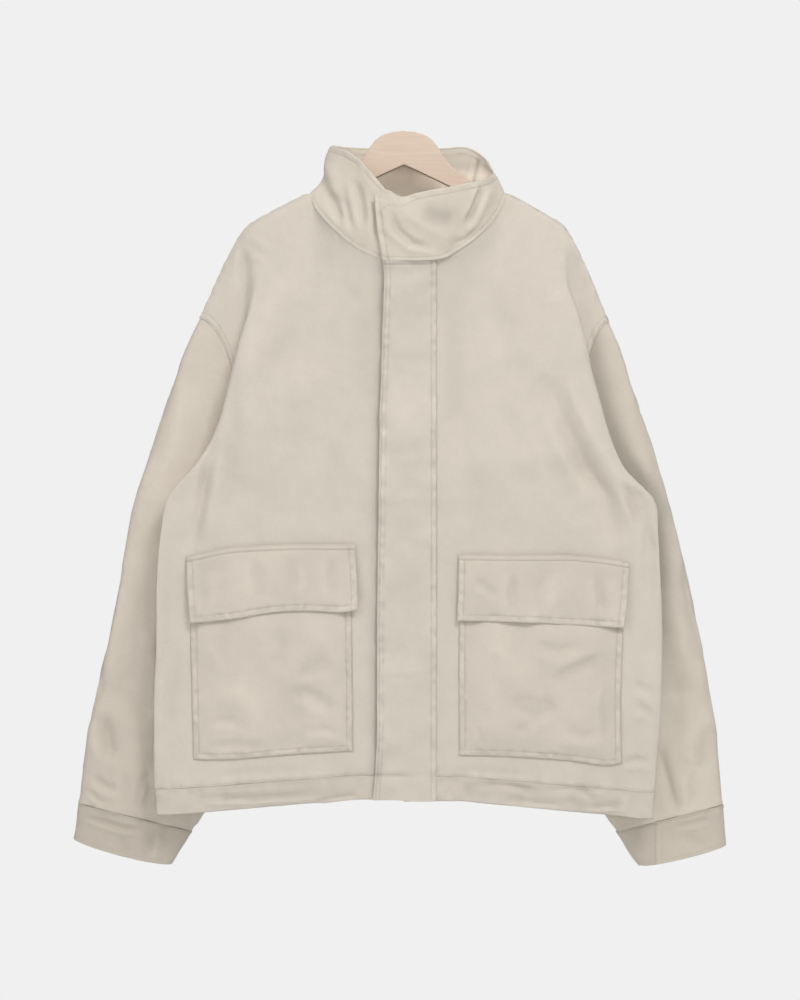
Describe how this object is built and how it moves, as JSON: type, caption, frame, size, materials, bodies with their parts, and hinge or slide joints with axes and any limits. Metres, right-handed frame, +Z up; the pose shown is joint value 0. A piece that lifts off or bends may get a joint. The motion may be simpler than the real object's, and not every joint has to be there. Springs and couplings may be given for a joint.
{
  "type": "field jacket on a wooden hanger",
  "caption": "Stand-collar cotton field jacket with a covered front opening and flapped patch pockets, hanging on a plain wooden hanger.",
  "frame": {"origin": "middle of the top of the hanger's head, at the mouth of the socket its hook screws into", "axes": "+Z up, front of the jacket facing -Y, the wearer's left at +X"},
  "size_m": [0.818, 0.1049, 0.9216],
  "materials": {
    "twill": "matte",
    "wood": "satin"
  },
  "bodies": {
    "root": {"front_right": "twill", "front_left": "twill", "hem_right": "twill", "hem_left": "twill", "back": "twill", "hem_back": "twill", "pocket_right": "twill", "pocket_left": "twill", "flap_right": "twill", "flap_left": "twill", "fly": "twill", "sleeve_right": "twill", "sleeve_left": "twill", "cuff_right": "twill", "cuff_left": "twill", "collar": "twill", "hanger": "wood"}
  },
  "joints": []
}
